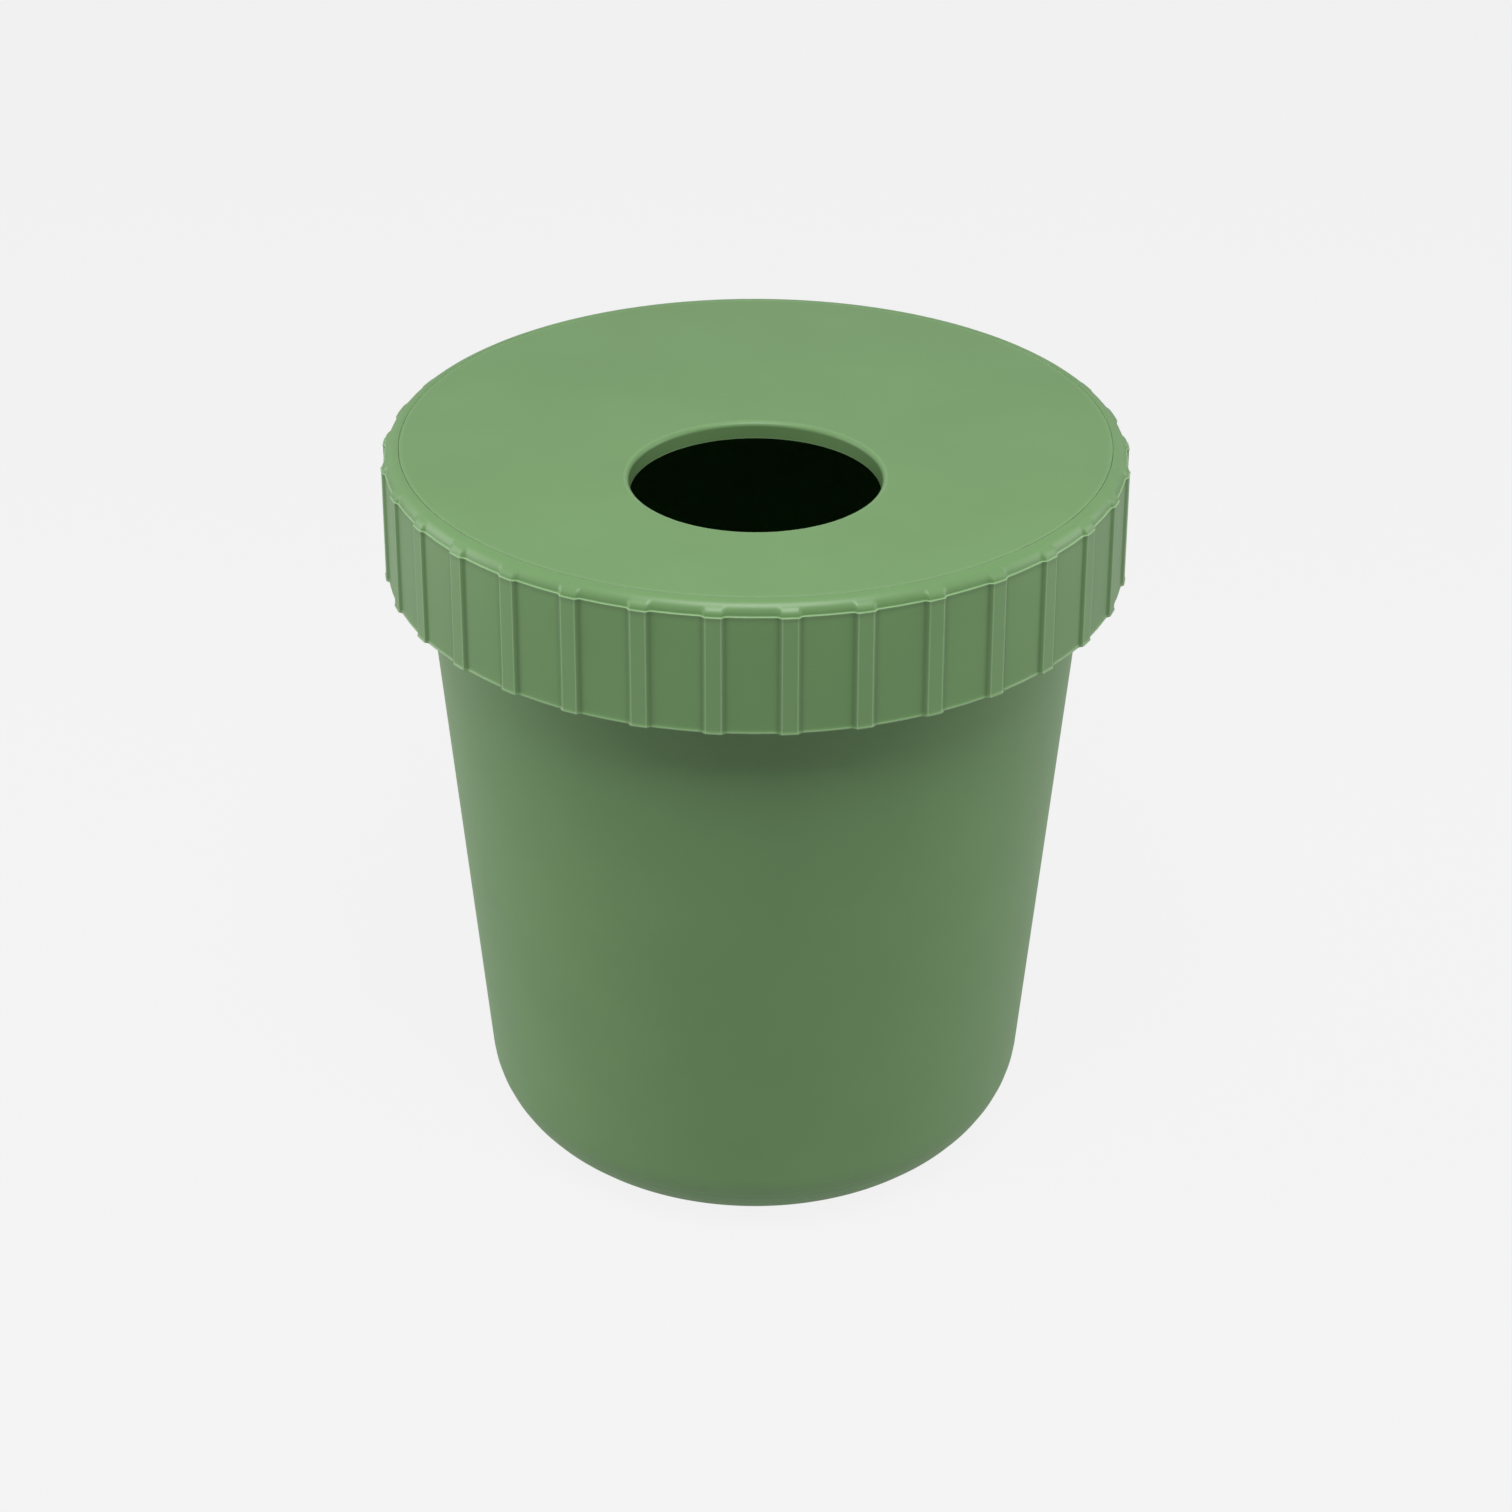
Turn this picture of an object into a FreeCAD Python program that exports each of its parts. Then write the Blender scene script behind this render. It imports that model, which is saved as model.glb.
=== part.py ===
import FreeCAD, Part
import math
import os

# Round desk-side wastebasket in three moulded pieces: a tapered bin body, a ribbed collar ring that
# hangs on the body's rim, and a flat lid plate with an off-centre hole that drops into the collar.
# Millimetres, +Z up, origin at the centre of the base, the hole lies toward the front (-Y).

# Bin body
height = 335.0              # floor to the flat top of the lid plate
foot_radius = 122.6         # where the wall's slope meets the floor, before the corner is rounded
wall_lean = 3.87            # degrees that the wall leans out, all the way up
base_corner = 34.3          # outside radius between wall and base
body_wall = 2.4
floor_thickness = 2.6
base_recess = 1.6           # how far the base's middle stands clear of the floor
foot_ring_width = 10.0
rim_wall = 2.0              # flange at the top of the body
rim_lip_depth = 8.0         # how far the flange's edge turns down

# Collar ring
collar_stand_off = 8.7      # gap between the body's wall and the skirt, at the rim
skirt_wall = 2.4
skirt_depth = 49.8          # panel height, from the shoulder's lip to the lower edge
skirt_flare = 1.3           # how much wider the skirt is at its lower edge
shoulder_radius = 5.1
shoulder_land = 0.7         # flat band between the lid's seam and the shoulder
panel_lip = 0.5             # fine step between the shoulder and the panels
ledge_thickness = 2.4       # shelf that carries the lid plate and rests on the body's rim
plug_depth = 14.0           # inner skirt that centres the collar in the body's mouth
plug_wall = 2.2

# Ribs on the collar
rib_count = 34
rib_start = 4.8             # degrees from the front to the first rib
rib_face = 6.3
rib_height = 1.3
rib_flank = 1.6             # run of each sloping flank
rib_root = 0.8              # how far a rib is rooted in the skirt

# Lid plate
plate_thickness = 2.6
throat_radius = 52.0
throat_round = 2.0
throat_depth = 7.5
throat_wall = 2.2
throat_draft = 0.5          # how much narrower the throat is at its lower edge
hole_offset = 41.6          # from the basket's axis toward the front
locating_rim_depth = 5.0
locating_rim_wall = 2.0

# Key that keeps the hole at the front: a block in the collar and a notch in the plate's locating rim
key_width = 8.0
key_depth = 6.0

# Clearances
seat_gap = 0.2              # between faces that rest on one another
seam_gap = 0.4              # round the lid plate's edge
plug_clearance = 0.6        # between the plug and the inside of the body, each side
rim_clearance = 1.4         # between the body's rim and the skirt
locating_clearance = 0.6    # between the locating rim and the plug
key_clearance = 0.4

# Small roundings of moulded edges
soft_edge = 0.4
soft_root = 0.8
tiny = 1e-6                 # shorter lines than this are left out of an outline

lean_slope = math.tan(math.radians(wall_lean))
wall_run = body_wall / math.cos(math.radians(wall_lean))

# Levels, from the top down
plate_under = height - plate_thickness
ledge_top = plate_under - seat_gap
ledge_under = ledge_top - ledge_thickness
rim_top = ledge_under - seat_gap
lip_level = height - shoulder_radius
skirt_bottom = lip_level - skirt_depth
plug_bottom = ledge_under - plug_depth
floor_top = base_recess + floor_thickness


def body_outside(level):
    """Radius of the body's outer wall at a level."""
    return foot_radius + level * lean_slope


def body_inside(level):
    """Radius of the body's inner wall at a level."""
    return body_outside(level) - wall_run


def plug_outside(level):
    """Radius of the plug's outer face, which follows the body's inner wall."""
    return body_inside(level) - plug_clearance


# Radii of the collar, from the body's rim outwards
skirt_inside_top = body_outside(rim_top) + collar_stand_off
panel_top = skirt_inside_top + skirt_wall
panel_bottom = panel_top + skirt_flare
shoulder_outside = panel_top - panel_lip
shoulder_centre = shoulder_outside - shoulder_radius
seam_radius = shoulder_centre - shoulder_land
plug_inside = plug_outside(plug_bottom) - plug_wall
rim_outside = skirt_inside_top - rim_clearance
locating_outside = plug_inside - locating_clearance


def rounded_corner(before, corner, after, rounding):
    """Start, middle and end of the tangent arc that rounds one corner of an outline."""
    back = (before - corner).normalize()
    ahead = (after - corner).normalize()
    half_angle = back.getAngle(ahead) / 2
    setback = rounding / math.tan(half_angle)
    inward = (back + ahead).normalize()
    middle = corner + inward * (rounding / math.sin(half_angle) - rounding)
    return corner + back * setback, middle, corner + ahead * setback


def turned(corners, centre_y=0.0):
    """Solid turned about a vertical axis from corners (radius, level, rounding) round its section."""
    points = [FreeCAD.Vector(radius, centre_y, level) for radius, level, rounding in corners]
    arcs = []
    for index, corner in enumerate(points):
        after = points[(index + 1) % len(points)]
        arcs.append(rounded_corner(points[index - 1], corner, after, corners[index][2]))
    edges = []
    for index, (start, middle, end) in enumerate(arcs):
        if corners[index][2] > 0:
            edges.append(Part.Arc(start, middle, end).toShape())
        next_start = arcs[(index + 1) % len(arcs)][0]
        if end.distanceToPoint(next_start) > tiny:
            edges.append(Part.makeLine(end, next_start))
    axis_point = FreeCAD.Vector(0, centre_y, 0)
    return Part.Face(Part.Wire(edges)).revolve(axis_point, FreeCAD.Vector(0, 0, 1), 360)


def make_bin_body():
    """Tapered bucket with a rounded base, a shallow recess under it and a down-turned rim."""
    recess_radius = foot_radius - base_corner - foot_ring_width
    flange_under = rim_top - rim_wall
    lip_bottom = rim_top - rim_lip_depth
    return turned([
        (0, base_recess, 0),
        (recess_radius - base_recess, base_recess, soft_root),
        (recess_radius, 0, soft_edge),
        (foot_radius, 0, base_corner),
        (body_outside(flange_under), flange_under, soft_root),
        (rim_outside - rim_wall, flange_under, soft_edge),
        (rim_outside - rim_wall, lip_bottom, soft_edge),
        (rim_outside, lip_bottom, soft_edge),
        (rim_outside, rim_top, soft_root),
        (body_inside(rim_top), rim_top, soft_root),
        (body_inside(floor_top), floor_top, base_corner - body_wall),
        (0, floor_top, 0),
    ])


def rib_outline(level, face_radius):
    """Trapezium of one rib at a level, on the -Y side: rooted in the skirt, with sloping flanks."""
    root_half = rib_face / 2 + rib_flank * (1 + rib_root / rib_height)
    face_half = rib_face / 2
    root_y = -(face_radius - rib_root)
    face_y = -(face_radius + rib_height)
    corners = [(-root_half, root_y), (root_half, root_y), (face_half, face_y), (-face_half, face_y)]
    points = [FreeCAD.Vector(x, y, level) for x, y in corners]
    return Part.makePolygon(points + points[:1])


def make_ribs():
    """Ribs round the skirt. Each runs out of the shoulder at 45 degrees and down to the lower edge."""
    # A rib leans out with the skirt's flare, so its outline is carried on up to the lid's level.
    face_at_height = panel_top - skirt_flare * shoulder_radius / skirt_depth
    outlines = [rib_outline(skirt_bottom, panel_bottom), rib_outline(height, face_at_height)]
    bar = Part.makeLoft(outlines, True, True)
    # The envelope's sloping top is the tangent to the shoulder's arc at 45 degrees.
    arc_reach = shoulder_radius * math.sqrt(0.5)
    tangent_radius = shoulder_centre + arc_reach
    tangent_level = lip_level + arc_reach
    far_radius = panel_bottom + 2 * rib_height
    envelope = turned([
        (seam_radius, skirt_bottom, 0),
        (far_radius, skirt_bottom, 0),
        (far_radius, tangent_level - (far_radius - tangent_radius), 0),
        (tangent_radius, tangent_level, 0),
        (seam_radius, lip_level, 0),
    ])
    rib = bar.common(envelope)
    ribs = []
    for index in range(rib_count):
        copy = rib.copy()
        angle = rib_start + index * 360 / rib_count
        copy.rotate(FreeCAD.Vector(0, 0, 0), FreeCAD.Vector(0, 0, 1), angle)
        ribs.append(copy)
    return ribs


def block(width, near_y, far_y, low, high):
    """Box centred on the YZ plane, between two Y values and two levels."""
    corner = FreeCAD.Vector(-width / 2, near_y, low)
    return Part.makeBox(width, far_y - near_y, high - low, corner)


def make_collar_ring():
    """Ring with a ribbed outer skirt, a ledge under the lid plate and a plug inside the body's mouth."""
    ring = turned([
        (panel_bottom, skirt_bottom, soft_edge / 2),
        (panel_top, lip_level, 0),
        (shoulder_outside, lip_level, 0),
        (shoulder_outside, height, shoulder_radius),
        (seam_radius, height, 0),
        (seam_radius, ledge_top, 0),
        (plug_inside, ledge_top, soft_edge),
        (plug_inside, plug_bottom, soft_edge),
        (plug_outside(plug_bottom), plug_bottom, soft_edge),
        (plug_outside(ledge_under), ledge_under, soft_edge),
        (skirt_inside_top, ledge_under, soft_root),
        (panel_bottom - skirt_wall, skirt_bottom, soft_edge),
    ])
    key = block(key_width, locating_outside - 2 * locating_rim_wall, plug_inside + plug_wall / 2,
                ledge_top - key_depth, ledge_top)
    return ring.multiFuse(make_ribs() + [key]).removeSplitter()


def make_lid_plate():
    """Flat disc with a locating rim under it and an off-centre hole with a rounded, down-turned throat."""
    rim_under = plate_under - locating_rim_depth
    plate = turned([
        (0, plate_under, 0),
        (locating_outside - locating_rim_wall, plate_under, soft_edge),
        (locating_outside - locating_rim_wall, rim_under, soft_edge),
        (locating_outside, rim_under, soft_edge),
        (locating_outside, plate_under, soft_edge),
        (seam_radius - seam_gap, plate_under, 0),
        (seam_radius - seam_gap, height, soft_edge),
        (0, height, 0),
    ])
    throat_bottom = height - throat_depth
    flat_radius = throat_radius + 2 * throat_round
    throat = turned([
        (flat_radius, height, 0),
        (throat_radius, height, throat_round),
        (throat_radius - throat_draft, throat_bottom, soft_edge),
        (throat_radius - throat_draft + throat_wall, throat_bottom, soft_edge),
        (throat_radius + throat_wall, plate_under, soft_edge),
        (flat_radius, plate_under, 0),
    ], centre_y=-hole_offset)
    hole_corner = FreeCAD.Vector(0, -hole_offset, throat_bottom)
    hole = Part.makeCylinder(flat_radius, throat_depth * 2, hole_corner)
    notch = block(key_width + 2 * key_clearance, locating_outside - 3 * locating_rim_wall,
                  plug_inside, rim_under - seat_gap, plate_under)
    return plate.cut(hole).fuse(throat).cut(notch).removeSplitter()


os.makedirs("parts", exist_ok=True)
pieces = {
    "bin_body": make_bin_body(),
    "collar_ring": make_collar_ring(),
    "lid_plate": make_lid_plate(),
}
for name, shape in pieces.items():
    shape.exportStep("parts/" + name + ".step")
    box = shape.optimalBoundingBox(False)
    print(name, "solids", len(shape.Solids), "valid", shape.isValid(), "volume %.0f" % shape.Volume,
          "x %.1f y %.1f z %.1f to %.1f" % (box.XLength, box.YLength, box.ZMin, box.ZMax))
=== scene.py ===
import bmesh
import bpy
import math
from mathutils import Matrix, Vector


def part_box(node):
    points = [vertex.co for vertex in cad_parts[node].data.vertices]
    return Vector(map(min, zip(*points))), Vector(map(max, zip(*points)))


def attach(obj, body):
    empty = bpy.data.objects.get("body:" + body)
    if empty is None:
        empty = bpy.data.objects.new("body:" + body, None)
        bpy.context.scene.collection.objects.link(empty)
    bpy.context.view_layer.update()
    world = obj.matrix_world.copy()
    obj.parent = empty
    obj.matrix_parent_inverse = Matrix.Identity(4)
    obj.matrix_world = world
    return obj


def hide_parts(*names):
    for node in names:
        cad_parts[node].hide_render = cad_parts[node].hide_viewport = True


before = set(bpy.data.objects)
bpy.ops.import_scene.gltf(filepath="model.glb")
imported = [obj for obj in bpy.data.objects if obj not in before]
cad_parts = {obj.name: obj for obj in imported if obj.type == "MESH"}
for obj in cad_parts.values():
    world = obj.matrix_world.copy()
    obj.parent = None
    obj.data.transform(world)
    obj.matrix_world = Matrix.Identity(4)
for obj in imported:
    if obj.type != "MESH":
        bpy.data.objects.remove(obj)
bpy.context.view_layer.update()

# ---------------------------------------------------------------- sizes, in metres
MM = 0.001
TINY = 1e-9
MERGE_DISTANCE = 10 * TINY

body_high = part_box("bin_body")[1]
collar_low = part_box("collar_ring")[0]
plate_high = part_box("lid_plate")[1]

HEIGHT = plate_high.z
RIM_TOP = body_high.z
SKIRT_BOTTOM = collar_low.z
PLATE_RADIUS = plate_high.x

# bin body
FOOT_RADIUS = 122.6 * MM
LEAN = math.tan(math.radians(3.87))
BASE_CORNER = 34.3 * MM
BODY_WALL = 2.4 * MM
FLOOR_THICKNESS = 2.6 * MM
BASE_RECESS = 1.6 * MM
FOOT_RING = 10.0 * MM
RIM_WALL = 2.0 * MM
RIM_LIP = 8.0 * MM
RIM_RADIUS = body_high.x

# collar ring
RIB_COUNT = 34
RIB_START = math.radians(4.8)
RIB_FACE = 6.3 * MM
RIB_FLANK = 1.6 * MM
RIB_HEIGHT = 1.3 * MM
SHOULDER = 5.1 * MM
SHOULDER_LAND = 0.7 * MM
SHOULDER_STEPS = 16
PANEL_LIP = 0.5 * MM
PANEL_BEAD = 0.2 * MM
SKIRT_WALL = 2.4 * MM
SKIRT_FLARE = 1.3 * MM
LEDGE = 2.4 * MM
SEAT_GAP = 0.2 * MM
PLUG_DEPTH = 14.0 * MM
PLUG_WALL = 2.2 * MM
PLUG_CLEARANCE = 0.6 * MM
SEAM_GAP = 0.4 * MM
SEEN_SEAM = 0.12 * MM
SEAM_RADIUS = PLATE_RADIUS + SEAM_GAP
SHOULDER_CENTRE = SEAM_RADIUS + SHOULDER_LAND
PANEL_TOP = SHOULDER_CENTRE + SHOULDER + PANEL_LIP
LIP_LEVEL = HEIGHT - SHOULDER

# lid plate
PLATE_THICKNESS = 2.6 * MM
THROAT_RADIUS = 52.0 * MM
THROAT_ROUND = 2.0 * MM
THROAT_DEPTH = 7.5 * MM
THROAT_WALL = 2.2 * MM
THROAT_DRAFT = 0.5 * MM
HOLE_OFFSET = 41.6 * MM
LOCATING_DEPTH = 5.0 * MM
LOCATING_WALL = 2.0 * MM
LOCATING_CLEARANCE = 0.6 * MM

# rounding of small edges
SOFT_EDGE = 0.4 * MM
FINE_EDGE = 0.15 * MM

# mesh fineness
COLUMNS = 288
CROSSING_STEPS = 8
SEAM_SUPPORT = 0.4 * MM
TOP_SUPPORT = 2 * MM
THROAT_SUPPORT = 4 * MM
UNDER_SUPPORT = 8 * MM
BODY_ARC_STEPS = 12
COLLAR_ARC_STEPS = 4
PLATE_ARC_STEPS = 5
THROAT_ARC_STEPS = 7
RUN_END = 0.6 * MM
THROAT_RUN_END = 0.25 * MM

# shares of paler paint on the rib faces, of painted highlight on the throat's upper rim and the seam, and
# of painted shade on the throat wall
PALER_RIB_FACE = 0.18
THROAT_RIM_HIGHLIGHT = 0.3
SEAM_HIGHLIGHT = 0.25
SHADED_THROAT = 0.65

# looks
GREEN = (0.181, 0.350, 0.134)
TINT_SPREAD = 0.028
# a paler colour stands in for light caught along edges (painted highlight), a darker one for shade
# (painted shade)
HIGHLIGHT_GAIN = 1.15
HIGHLIGHT_LIFT = 0.09
SHADED_GAIN = 0.35
PAINTED_SHADE_DEPTH = 0.45
BODY_ROUGHNESS = 0.44
COLLAR_ROUGHNESS = 0.40
ROUGHNESS_SPREAD = 0.05
PLASTIC_IOR = 1.49
CLOUD_SCALE = 22.0
GRAIN_SCALE = 1400.0
GRAIN_DEPTH = 0.02 * MM
SWAY_SCALE = 14.0
SWAY_DEPTH = 0.4 * MM

# floor, surroundings and camera
FLOOR_SIZE = 30.0
FLOOR_GREY = 0.56
BACKDROP_GREY = 0.935
BACKDROP_TO_CAMERA = 0.93
BACKDROP_TO_GLOSS = 0.36
SKY_GREY = 0.896
SKY_TO_CAMERA = 1.0
SKY_TO_GLOSS = 0.63
SKY_LIGHT = 0.055
CAMERA_PLACE = (0.0, -1.0453, 0.8050)
CAMERA_DIP = math.radians(31.05)
CAMERA_TURN = math.radians(0.12)
SENSOR_WIDTH = 36.0
LENS = 64.31
LENS_SHIFT = 0.0006


def body_outside(level):
    return FOOT_RADIUS + level * LEAN


def body_inside(level):
    return body_outside(level) - BODY_WALL


# ---------------------------------------------------------------- mesh building
def rounded(corners, steps):
    """Points of a section from (radius, level, rounding) corners, with each corner as a short arc."""
    points = []
    count = len(corners)
    for index, (radius, level, rounding) in enumerate(corners):
        corner = Vector((radius, level))
        if rounding <= 0:
            points.append(corner)
            continue
        back = (Vector(corners[index - 1][:2]) - corner).normalized()
        ahead = (Vector(corners[(index + 1) % count][:2]) - corner).normalized()
        half = back.angle(ahead) / 2
        setback = rounding / math.tan(half)
        centre = corner + (back + ahead).normalized() * (rounding / math.sin(half))
        start = corner + back * setback - centre
        end = corner + ahead * setback - centre
        turn = start.angle_signed(end)
        for step in range(steps + 1):
            angle = -turn * step / steps
            points.append(centre + Vector((
                start.x * math.cos(angle) - start.y * math.sin(angle),
                start.x * math.sin(angle) + start.y * math.cos(angle))))
    return points


def supported(points, run_end=RUN_END):
    """Adds a point near each end of a long run, so that smooth shading stays flat along it."""
    out = [points[0]]
    for point, after in zip(points, points[1:]):
        run = after - point
        if run.length > 4 * run_end:
            step = run.normalized() * run_end
            out.append(point + step)
            out.append(after - step)
        out.append(after)
    return out


def grid_mesh(name, rows, closed=True, painted_highlight=None, painted_shade=None):
    """Mesh of quads from rows of points. Each row runs once round the axis, and the last row joins the
    first unless closed is False. The two lists of marks give each point's share of painted highlight
    and of painted shade for the material.
    """
    columns = len(rows[0])
    verts = [point for row in rows for point in row]
    faces = []
    last = len(rows) if closed else len(rows) - 1
    for r in range(last):
        upper = (r + 1) % len(rows)
        for c in range(columns):
            after = (c + 1) % columns
            faces.append((r * columns + c, r * columns + after, upper * columns + after,
                          upper * columns + c))
    mesh = bpy.data.meshes.new(name)
    mesh.from_pydata(verts, [], faces)
    for mark, values in (("painted_highlight", painted_highlight), ("painted_shade", painted_shade)):
        layer = mesh.attributes.new(mark, "FLOAT", "POINT")
        if values:
            layer.data.foreach_set("value", values)
    return mesh


def finish_piece(name, mesh, body, node, material):
    """Object for a mesh that stands for a CAD node, with smooth shading and outward normals."""
    shape = bmesh.new()
    shape.from_mesh(mesh)
    bmesh.ops.remove_doubles(shape, verts=shape.verts, dist=MERGE_DISTANCE)
    bmesh.ops.recalc_face_normals(shape, faces=shape.faces)
    for face in shape.faces:
        face.smooth = True
    shape.to_mesh(mesh)
    shape.free()
    piece = bpy.data.objects.new(name, mesh)
    bpy.context.scene.collection.objects.link(piece)
    mesh.materials.append(material)
    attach(piece, body)
    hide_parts(node)


def circle(radius, level, centre_y=0.0):
    """Points round a vertical axis, clockwise seen from above, starting at the back."""
    points = []
    for index in range(COLUMNS):
        angle = 2 * math.pi * index / COLUMNS
        points.append((radius * math.sin(angle), centre_y + radius * math.cos(angle), level))
    return points


# ---------------------------------------------------------------- materials
def scaled(colour, gain, lift=0.0):
    """Colour with each part multiplied and raised, with an alpha of 1."""
    return (*[part * gain + lift for part in colour], 1)


def grey(level):
    return (level, level, level, 1)


def moulded_plastic(name, colour, roughness):
    """Satin moulded plastic: a faintly cloudy colour, painted highlights along edges, painted shade in
    creases and a fine grain.
    """
    material = bpy.data.materials.new(name)
    material.use_nodes = True
    nodes = material.node_tree.nodes
    links = material.node_tree.links
    shader = nodes["Principled BSDF"]
    coords = nodes.new("ShaderNodeTexCoord")

    cloud = nodes.new("ShaderNodeTexNoise")
    cloud.inputs["Scale"].default_value = CLOUD_SCALE
    cloud.inputs["Detail"].default_value = 3.0
    links.new(coords.outputs["Object"], cloud.inputs["Vector"])

    tint = nodes.new("ShaderNodeValToRGB")
    tint.color_ramp.elements[0].position = 0.3
    tint.color_ramp.elements[1].position = 0.7
    tint.color_ramp.elements[0].color = scaled(colour, 1 - TINT_SPREAD)
    tint.color_ramp.elements[1].color = scaled(colour, 1 + TINT_SPREAD)
    links.new(cloud.outputs["Fac"], tint.inputs["Fac"])

    # painted highlight: points marked along edges turn paler, standing in for light caught by the edges
    painted_highlight = nodes.new("ShaderNodeAttribute")
    painted_highlight.attribute_name = "painted_highlight"
    highlighted = nodes.new("ShaderNodeMixRGB")
    highlighted.inputs["Color2"].default_value = scaled(colour, HIGHLIGHT_GAIN, HIGHLIGHT_LIFT)
    links.new(painted_highlight.outputs["Fac"], highlighted.inputs["Fac"])
    links.new(tint.outputs["Color"], highlighted.inputs["Color1"])

    # painted shade: points marked at the ribs' feet and on the throat wall turn darker, standing in for
    # shade
    painted_shade = nodes.new("ShaderNodeAttribute")
    painted_shade.attribute_name = "painted_shade"
    depth = nodes.new("ShaderNodeMath")
    depth.operation = "MULTIPLY"
    depth.inputs[1].default_value = PAINTED_SHADE_DEPTH
    links.new(painted_shade.outputs["Fac"], depth.inputs[0])
    shaded = nodes.new("ShaderNodeMixRGB")
    shaded.inputs["Color2"].default_value = scaled(colour, SHADED_GAIN)
    links.new(depth.outputs[0], shaded.inputs["Fac"])
    links.new(highlighted.outputs["Color"], shaded.inputs["Color1"])
    links.new(shaded.outputs["Color"], shader.inputs["Base Color"])

    grain = nodes.new("ShaderNodeTexNoise")
    grain.inputs["Scale"].default_value = GRAIN_SCALE
    grain.inputs["Detail"].default_value = 2.0
    links.new(coords.outputs["Object"], grain.inputs["Vector"])

    gloss = nodes.new("ShaderNodeMapRange")
    gloss.inputs["To Min"].default_value = roughness - ROUGHNESS_SPREAD
    gloss.inputs["To Max"].default_value = roughness + ROUGHNESS_SPREAD
    links.new(grain.outputs["Fac"], gloss.inputs["Value"])
    links.new(gloss.outputs["Result"], shader.inputs["Roughness"])

    sway = nodes.new("ShaderNodeTexNoise")
    sway.inputs["Scale"].default_value = SWAY_SCALE
    sway.inputs["Detail"].default_value = 1.0
    links.new(coords.outputs["Object"], sway.inputs["Vector"])

    slow_bump = nodes.new("ShaderNodeBump")
    slow_bump.inputs["Strength"].default_value = 0.05
    slow_bump.inputs["Distance"].default_value = SWAY_DEPTH
    links.new(sway.outputs["Fac"], slow_bump.inputs["Height"])

    fine_bump = nodes.new("ShaderNodeBump")
    fine_bump.inputs["Strength"].default_value = 0.12
    fine_bump.inputs["Distance"].default_value = GRAIN_DEPTH
    links.new(grain.outputs["Fac"], fine_bump.inputs["Height"])
    links.new(slow_bump.outputs["Normal"], fine_bump.inputs["Normal"])
    links.new(fine_bump.outputs["Normal"], shader.inputs["Normal"])

    shader.inputs["IOR"].default_value = PLASTIC_IOR
    shader.inputs["Specular IOR Level"].default_value = 0.5
    return material


body_plastic = moulded_plastic("body_green_plastic", GREEN, BODY_ROUGHNESS)
collar_plastic = moulded_plastic("collar_green_plastic", GREEN, COLLAR_ROUGHNESS)
lid_plastic = moulded_plastic("lid_green_plastic", GREEN, BODY_ROUGHNESS)


# ---------------------------------------------------------------- bin body
def make_body():
    """Bucket: one section turned about the axis, closed at both poles."""
    recess = FOOT_RADIUS - BASE_CORNER - FOOT_RING
    flange_under = RIM_TOP - RIM_WALL
    lip_bottom = RIM_TOP - RIM_LIP
    floor_top = BASE_RECESS + FLOOR_THICKNESS
    corners = [
        (TINY, BASE_RECESS, 0),
        (recess - BASE_RECESS, BASE_RECESS, 2 * SOFT_EDGE),
        (recess, 0, SOFT_EDGE),
        (FOOT_RADIUS, 0, BASE_CORNER),
        (body_outside(flange_under), flange_under, 2 * SOFT_EDGE),
        (RIM_RADIUS - RIM_WALL, flange_under, SOFT_EDGE),
        (RIM_RADIUS - RIM_WALL, lip_bottom, SOFT_EDGE),
        (RIM_RADIUS, lip_bottom, SOFT_EDGE),
        (RIM_RADIUS, RIM_TOP, 2 * SOFT_EDGE),
        (body_inside(RIM_TOP), RIM_TOP, 2 * SOFT_EDGE),
        (body_inside(floor_top), floor_top, BASE_CORNER - BODY_WALL),
        (TINY, floor_top, 0),
    ]
    section = supported(rounded(corners, BODY_ARC_STEPS))
    rows = [circle(point.x, point.y) for point in section]
    mesh = grid_mesh("body_shell", rows, closed=False)
    finish_piece("body_shell", mesh, "bin", "bin_body", body_plastic)


# ---------------------------------------------------------------- collar ring
def rib_columns():
    """Columns of points all the way round: (angle, share of the rib's height, painted highlight, painted
    shade).
    """
    reach = PANEL_TOP + RIB_HEIGHT
    half_pitch = math.pi * reach / RIB_COUNT
    # from a rib's middle to the edge of its face, and to its foot
    face = RIB_FACE / 2
    foot = face + RIB_FLANK
    # half a pitch, from a rib's middle to midway between two ribs
    # each rib's face is painted a little paler, its outer edges carry a painted highlight, and its flanks
    # and foot carry painted shade
    half = [
        (0.0, 1.0, PALER_RIB_FACE, 0.0),
        (face / 2, 1.0, PALER_RIB_FACE, 0.0),
        (face - 0.50 * MM, 1.0, PALER_RIB_FACE, 0.0),
        (face - 0.28 * MM, 1.0, 1.0, 0.0),
        (face - 0.06 * MM, 0.985, 1.0, 0.0),
        (face + 0.14 * MM, 0.925, 0.3, 0.1),
        (face + RIB_FLANK * 0.25, 0.79, 0.0, 0.35),
        (face + RIB_FLANK * 0.5, 0.52, 0.0, 0.7),
        (face + RIB_FLANK * 0.75, 0.25, 0.0, 1.0),
        (foot - 0.10 * MM, 0.115, 0.0, 1.0),
        (foot + 0.25 * MM, 0.045, 0.0, 0.75),
        (foot + 0.65 * MM, 0.01, 0.0, 0.4),
        (foot + 1.1 * MM, 0.0, 0.0, 0.15),
        (foot + 2.2 * MM, 0.0, 0.0, 0.0),
        (half_pitch, 0.0, 0.0, 0.0),
    ]
    mirrored = [(-offset, *rest) for offset, *rest in reversed(half[1:])]
    whole = mirrored + half[:-1]
    columns = []
    for rib in range(RIB_COUNT):
        centre = RIB_START + rib * 2 * math.pi / RIB_COUNT
        for offset, share, painted_highlight, painted_shade in whole:
            columns.append((centre + offset / reach, share, painted_highlight, painted_shade))
    return columns


def shoulder_point(share):
    """Point along the shoulder's roll, from the flat top (0) to the lip (1)."""
    angle = math.pi / 2 * share
    return Vector((SHOULDER_CENTRE, LIP_LEVEL)) + Vector((math.sin(angle), math.cos(angle))) * SHOULDER


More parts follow.
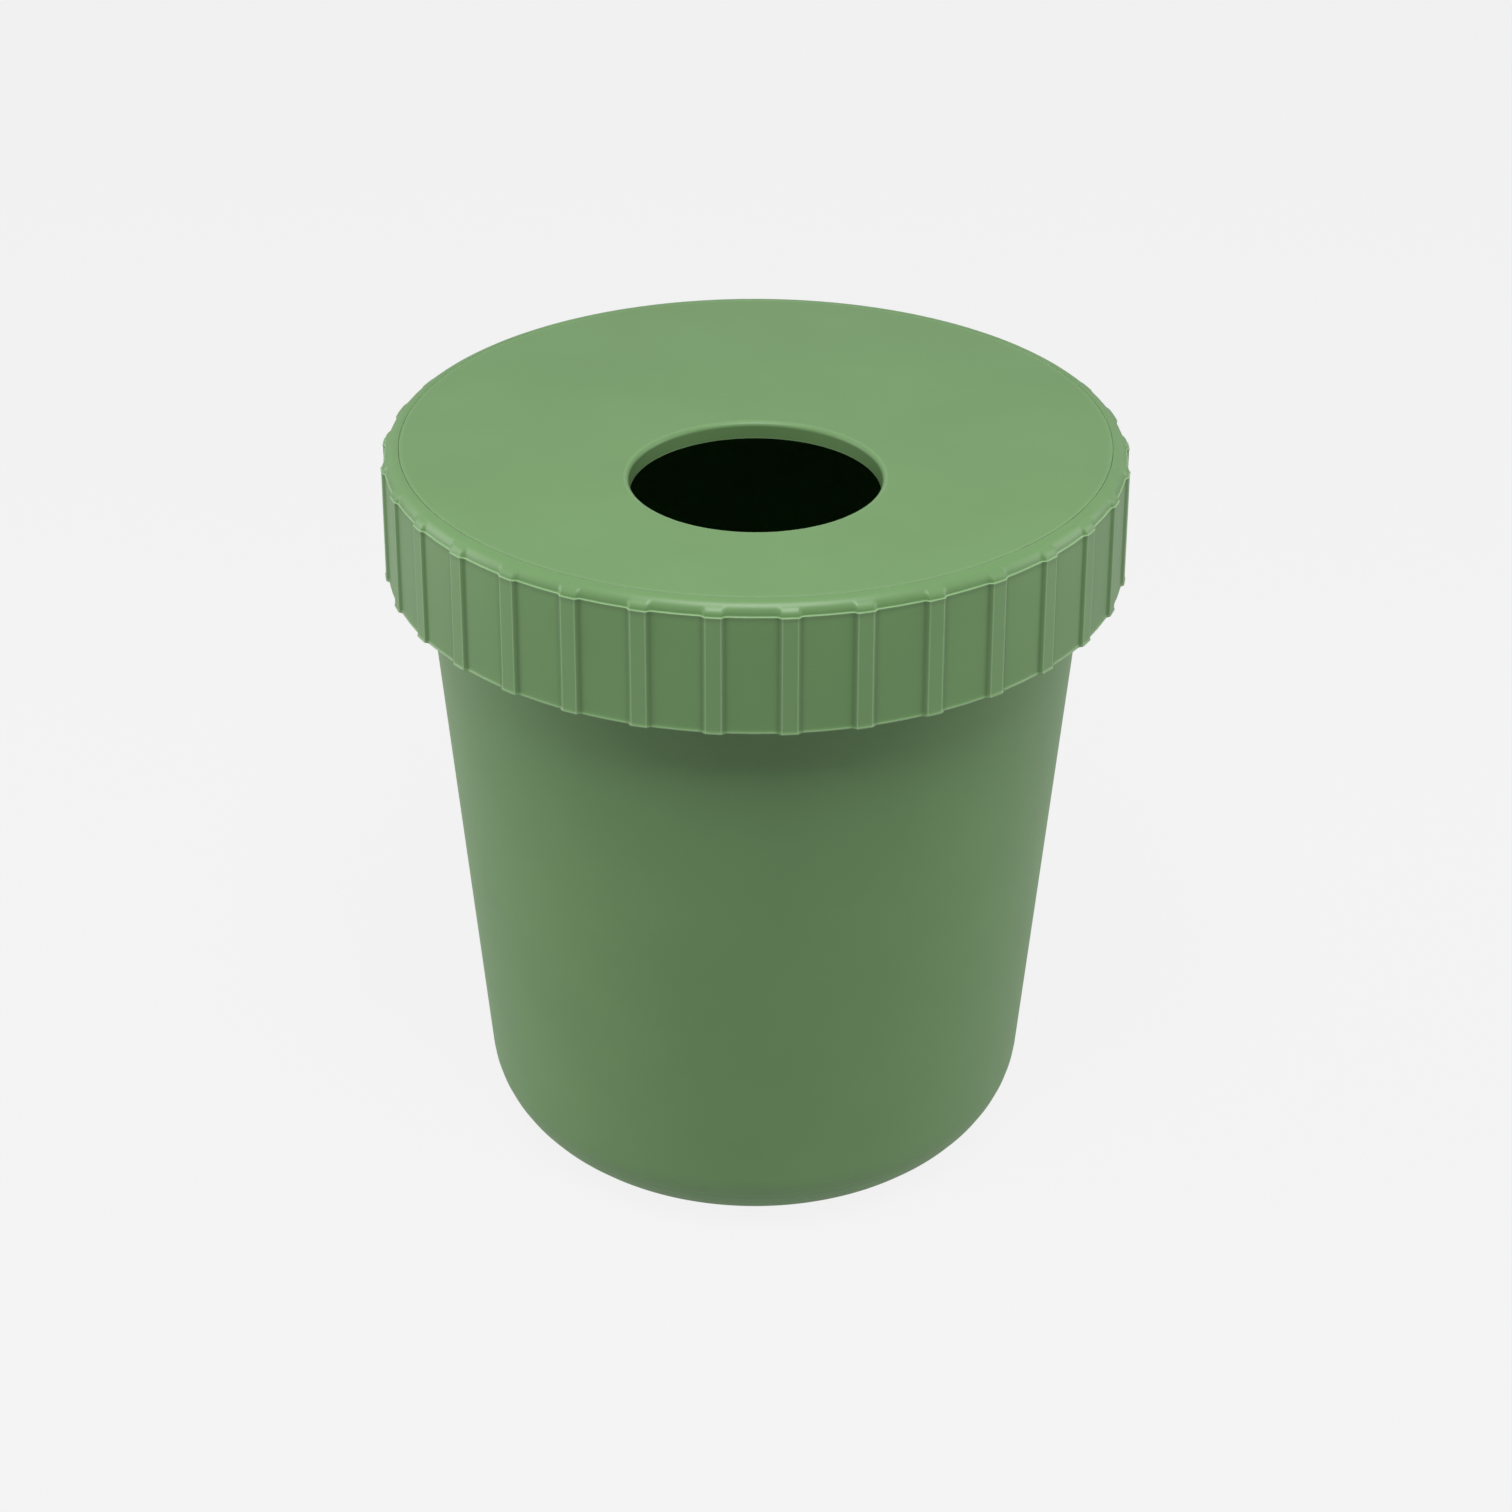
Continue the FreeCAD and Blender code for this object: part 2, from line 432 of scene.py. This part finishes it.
def skirt_sections():
    """Rows of the collar's outer face: (point between ribs, point on a rib, painted highlight, is on the
    wall).
    """
    depth = LIP_LEVEL - SKIRT_BOTTOM
    lip_in = SHOULDER_CENTRE + SHOULDER
    rib_step = Vector((RIB_HEIGHT, 0))
    land = Vector((SEAM_RADIUS + FINE_EDGE, HEIGHT))
    rows = [(land, land, 0.0, False)]

    # the shoulder: a rib grows out of its lower half, up to the rib's full height
    halfway = shoulder_point(0.5)
    spread = (lip_in + RIB_HEIGHT - halfway.x) / (lip_in - halfway.x)
    for step in range(SHOULDER_STEPS + 1):
        point = shoulder_point(step / SHOULDER_STEPS)
        past = max(0.0, point.x - halfway.x)
        rows.append((point, point + Vector((past * (spread - 1), 0)), 0.0, False))

    # the fine bead along the lip, with a painted highlight: (radius, drop below the lip's level, painted
    # highlight)
    lip_out = lip_in + PANEL_LIP + PANEL_BEAD
    for radius, drop, painted_highlight in (
            (lip_in + 0.08 * MM, 0.02 * MM, 0.3),
            (lip_in + 0.18 * MM, 0.04 * MM, 1.0),
            (lip_out - 0.12 * MM, 0.07 * MM, 1.0),
            (lip_out - 0.03 * MM, 0.14 * MM, 1.0),
            (lip_out, 0.28 * MM, 0.5),
            (lip_out - 0.05 * MM, 0.7 * MM, 0.0),
            (PANEL_TOP, 1.2 * MM, 0.0)):
        point = Vector((radius, LIP_LEVEL - drop))
        rows.append((point, point + rib_step, painted_highlight, drop > 0.2 * MM))

    # the plain skirt, with a row close to each end
    for share in (0.06, 0.3, 0.6, 0.9, 0.96):
        point = Vector((PANEL_TOP + SKIRT_FLARE * share, LIP_LEVEL - depth * share))
        rows.append((point, point + rib_step, 0.0, True))

    # the bead along the skirt's lower edge, with a painted highlight: (bulge, rise above the edge,
    # painted highlight)
    for bulge, rise, painted_highlight in (
            (0.02 * MM, 1.05 * MM, 0.0),
            (0.16 * MM, 0.8 * MM, 0.4),
            (0.28 * MM, 0.55 * MM, 1.0),
            (0.28 * MM, 0.25 * MM, 1.0),
            (0.18 * MM, 0.06 * MM, 1.0),
            (0.0, 0.0, 0.5)):
        point = Vector((PANEL_TOP + SKIRT_FLARE + bulge, SKIRT_BOTTOM + rise))
        rows.append((point, point + rib_step, painted_highlight, True))
    return rows


def make_collar():
    """Ring: the ribbed outside, then the smooth inside from the skirt's lower rim up over plug and ledge.
    """
    ledge_top = HEIGHT - PLATE_THICKNESS - SEAT_GAP
    ledge_under = ledge_top - LEDGE
    plug_bottom = ledge_under - PLUG_DEPTH
    plug_out_low = body_inside(plug_bottom) - PLUG_CLEARANCE
    plug_out_high = body_inside(ledge_under) - PLUG_CLEARANCE
    plug_in = plug_out_low - PLUG_WALL
    skirt_in_low = PANEL_TOP + SKIRT_FLARE - SKIRT_WALL
    outside = skirt_sections()
    last = outside[-1][0]
    inside = supported(rounded([
        (last.x, last.y, 0),
        (skirt_in_low, SKIRT_BOTTOM, SOFT_EDGE),
        (PANEL_TOP - SKIRT_WALL, ledge_under, 2 * SOFT_EDGE),
        (plug_out_high, ledge_under, SOFT_EDGE),
        (plug_out_low, plug_bottom, SOFT_EDGE),
        (plug_in, plug_bottom, SOFT_EDGE),
        (plug_in, ledge_top, SOFT_EDGE),
        (SEAM_RADIUS, ledge_top, FINE_EDGE),
        (SEAM_RADIUS, HEIGHT - FINE_EDGE, 0),
    ], COLLAR_ARC_STEPS))[1:]
    columns = rib_columns()
    rows = []
    painted_highlights = []
    painted_shades = []
    sections = outside + [(point, point, 0.0, False) for point in inside]
    for low, high, row_highlight, on_wall in sections:
        row = []
        for angle, share, rib_highlight, painted_shade in columns:
            point = low.lerp(high, share)
            row.append((point.x * math.sin(angle), -point.x * math.cos(angle), point.y))
            # painted highlight from the row everywhere and from the rib on the wall; painted shade from
            # the rib on the wall only
            painted_highlights.append(max(row_highlight, rib_highlight if on_wall else 0.0))
            painted_shades.append(painted_shade if on_wall else 0.0)
        rows.append(row)
    mesh = grid_mesh("collar_shell", rows, painted_highlight=painted_highlights, painted_shade=painted_shades)
    finish_piece("collar_shell", mesh, "collar", "collar_ring", collar_plastic)


# ---------------------------------------------------------------- lid plate
def make_plate():
    """Plate: circles about the basket's axis give way to circles about the hole on both faces."""
    under = HEIGHT - PLATE_THICKNESS
    rim_under = under - LOCATING_DEPTH
    throat_bottom = HEIGHT - THROAT_DEPTH
    plug_bottom = under - SEAT_GAP - LEDGE - PLUG_DEPTH
    locating_out = body_inside(plug_bottom) - PLUG_CLEARANCE - PLUG_WALL - LOCATING_CLEARANCE
    locating_in = locating_out - LOCATING_WALL
    throat_low = THROAT_RADIUS - THROAT_DRAFT
    seen_radius = SEAM_RADIUS - SEEN_SEAM
    outer = rounded([
        (locating_in - UNDER_SUPPORT, under, 0),
        (locating_in, under, SOFT_EDGE),
        (locating_in, rim_under, SOFT_EDGE),
        (locating_out, rim_under, SOFT_EDGE),
        (locating_out, under, SOFT_EDGE),
        (seen_radius, under, FINE_EDGE),
        (seen_radius, HEIGHT, FINE_EDGE),
        (seen_radius - SEAM_SUPPORT, HEIGHT, 0),
        (seen_radius - TOP_SUPPORT, HEIGHT, 0),
    ], PLATE_ARC_STEPS)
    inner = supported(rounded([
        (THROAT_RADIUS + THROAT_ROUND + TOP_SUPPORT, HEIGHT, 0),
        (THROAT_RADIUS, HEIGHT, THROAT_ROUND),
        (throat_low, throat_bottom, 2 * FINE_EDGE),
        (throat_low + THROAT_WALL, throat_bottom, SOFT_EDGE),
        (THROAT_RADIUS + THROAT_WALL, under, SOFT_EDGE),
        (THROAT_RADIUS + THROAT_WALL + THROAT_SUPPORT, under, 0),
    ], THROAT_ARC_STEPS), THROAT_RUN_END)
    rows = [circle(point.x, point.y) for point in outer]

    def crossing(start, end, start_y, end_y):
        """Rows between two circles that have different centres."""
        for step in range(1, CROSSING_STEPS):
            part = step / CROSSING_STEPS
            point = start.lerp(end, part)
            rows.append(circle(point.x, point.y, start_y * (1 - part) + end_y * part))

    crossing(outer[-1], inner[0], 0.0, -HOLE_OFFSET)
    rows += [circle(point.x, point.y, -HOLE_OFFSET) for point in inner]
    crossing(inner[-1], outer[0], -HOLE_OFFSET, 0.0)

    # marks: a painted highlight along the throat's lower edge, its upper rim and the seam, and painted
    # shade on the throat wall
    line_level = throat_bottom + 0.35 * MM
    wall_top = HEIGHT - THROAT_ROUND
    wall_radius = THROAT_RADIUS + 0.2 * MM
    rim_level = HEIGHT - 0.25 * MM
    rim_radius = THROAT_RADIUS + THROAT_ROUND + 0.1 * MM
    seam_level = HEIGHT - 0.2 * MM
    seam_inside = seen_radius - 0.45 * MM
    painted_highlights = []
    painted_shades = []
    for row in rows:
        back, level = row[0][1:]
        from_hole = back + HOLE_OFFSET
        on_throat = from_hole < wall_radius and level > throat_bottom + TINY
        highlighted = 0.0
        if on_throat and level < line_level:
            highlighted = 1.0
        elif level > rim_level and THROAT_RADIUS < from_hole < rim_radius:
            highlighted = THROAT_RIM_HIGHLIGHT
        elif level > seam_level and back > seam_inside:
            highlighted = SEAM_HIGHLIGHT
        on_wall = on_throat and line_level < level < wall_top
        painted_highlights += [highlighted] * COLUMNS
        painted_shades += [SHADED_THROAT if on_wall else 0.0] * COLUMNS
    mesh = grid_mesh("lid_shell", rows, painted_highlight=painted_highlights, painted_shade=painted_shades)
    finish_piece("lid_shell", mesh, "plate", "lid_plate", lid_plastic)


make_body()
make_collar()
make_plate()


# ---------------------------------------------------------------- floor, light and camera
def seen_share(nodes, links, by_camera, by_gloss):
    """Share of the plain backdrop colour that a ray meets: one for the camera, one for reflections."""
    path = nodes.new("ShaderNodeLightPath")
    camera_part = nodes.new("ShaderNodeMath")
    camera_part.operation = "MULTIPLY"
    camera_part.inputs[1].default_value = by_camera
    links.new(path.outputs["Is Camera Ray"], camera_part.inputs[0])
    both = nodes.new("ShaderNodeMath")
    both.operation = "MULTIPLY_ADD"
    both.inputs[1].default_value = by_gloss
    links.new(path.outputs["Is Glossy Ray"], both.inputs[0])
    links.new(camera_part.outputs[0], both.inputs[2])
    return both.outputs[0]


def backdrop_material():
    """Pale seamless paper: mostly the plain backdrop colour to the camera, but it keeps a soft shadow."""
    material = bpy.data.materials.new("pale_backdrop")
    material.use_nodes = True
    nodes = material.node_tree.nodes
    links = material.node_tree.links
    shader = nodes["Principled BSDF"]
    shader.inputs["Base Color"].default_value = grey(FLOOR_GREY)
    shader.inputs["Roughness"].default_value = 0.9
    shader.inputs["Specular IOR Level"].default_value = 0.0
    glow = nodes.new("ShaderNodeEmission")
    glow.inputs["Color"].default_value = grey(BACKDROP_GREY)
    mix = nodes.new("ShaderNodeMixShader")
    share = seen_share(nodes, links, BACKDROP_TO_CAMERA, BACKDROP_TO_GLOSS)
    links.new(share, mix.inputs["Fac"])
    links.new(shader.outputs["BSDF"], mix.inputs[1])
    links.new(glow.outputs["Emission"], mix.inputs[2])
    links.new(mix.outputs["Shader"], nodes["Material Output"].inputs["Surface"])
    return material


def make_floor():
    """Large floor under the basket."""
    shape = bmesh.new()
    bmesh.ops.create_grid(shape, x_segments=8, y_segments=8, size=FLOOR_SIZE)
    mesh = bpy.data.meshes.new("floor")
    shape.to_mesh(mesh)
    shape.free()
    floor = bpy.data.objects.new("floor", mesh)
    bpy.context.scene.collection.objects.link(floor)
    mesh.materials.append(backdrop_material())


def make_world():
    """Even pale surroundings: dim as a light, like the backdrop to the camera, darker in reflections."""
    world = bpy.data.worlds.new("studio")
    bpy.context.scene.world = world
    world.use_nodes = True
    nodes = world.node_tree.nodes
    links = world.node_tree.links
    light = nodes["Background"]
    light.inputs["Color"].default_value = grey(1.0)
    light.inputs["Strength"].default_value = SKY_LIGHT
    seen = nodes.new("ShaderNodeBackground")
    seen.inputs["Color"].default_value = grey(SKY_GREY)
    mix = nodes.new("ShaderNodeMixShader")
    share = seen_share(nodes, links, SKY_TO_CAMERA, SKY_TO_GLOSS)
    links.new(share, mix.inputs["Fac"])
    links.new(light.outputs["Background"], mix.inputs[1])
    links.new(seen.outputs["Background"], mix.inputs[2])
    links.new(mix.outputs["Shader"], nodes["World Output"].inputs["Surface"])


def softbox(name, place, target, width, tall, power):
    """Rectangular area light at a place, facing a target."""
    lamp = bpy.data.lights.new(name, "AREA")
    lamp.shape = "RECTANGLE"
    lamp.size = width
    lamp.size_y = tall
    lamp.energy = power
    light = bpy.data.objects.new(name, lamp)
    bpy.context.scene.collection.objects.link(light)
    light.location = place
    facing = Vector(target) - Vector(place)
    light.rotation_euler = facing.to_track_quat("-Z", "Y").to_euler()


def make_camera():
    """Camera in front of the basket and above it, looking down at about 31 degrees."""
    lens = bpy.data.cameras.new("camera")
    lens.sensor_width = SENSOR_WIDTH
    lens.lens = LENS
    lens.shift_x = LENS_SHIFT
    lens.clip_start = 0.05
    lens.clip_end = 100.0
    camera = bpy.data.objects.new("camera", lens)
    bpy.context.scene.collection.objects.link(camera)
    camera.location = CAMERA_PLACE
    camera.rotation_mode = "ZYX"
    camera.rotation_euler = (math.pi / 2 - CAMERA_DIP, 0.0, CAMERA_TURN)
    bpy.context.scene.camera = camera


make_floor()
make_world()
middle = (0.0, 0.0, HEIGHT / 2)
top = (0.0, 0.0, HEIGHT)
softbox("left_softbox", place=(-1.35, 0.10, 0.45), target=middle, width=0.9, tall=1.3, power=9.9)
softbox("right_softbox", place=(1.35, 0.10, 0.45), target=middle, width=0.9, tall=1.3, power=7.9)
softbox("top_softbox", place=(0.0, -0.66, 1.60), target=top, width=0.9, tall=0.7, power=18.2)
make_camera()
bpy.context.scene.view_settings.view_transform = "Standard"
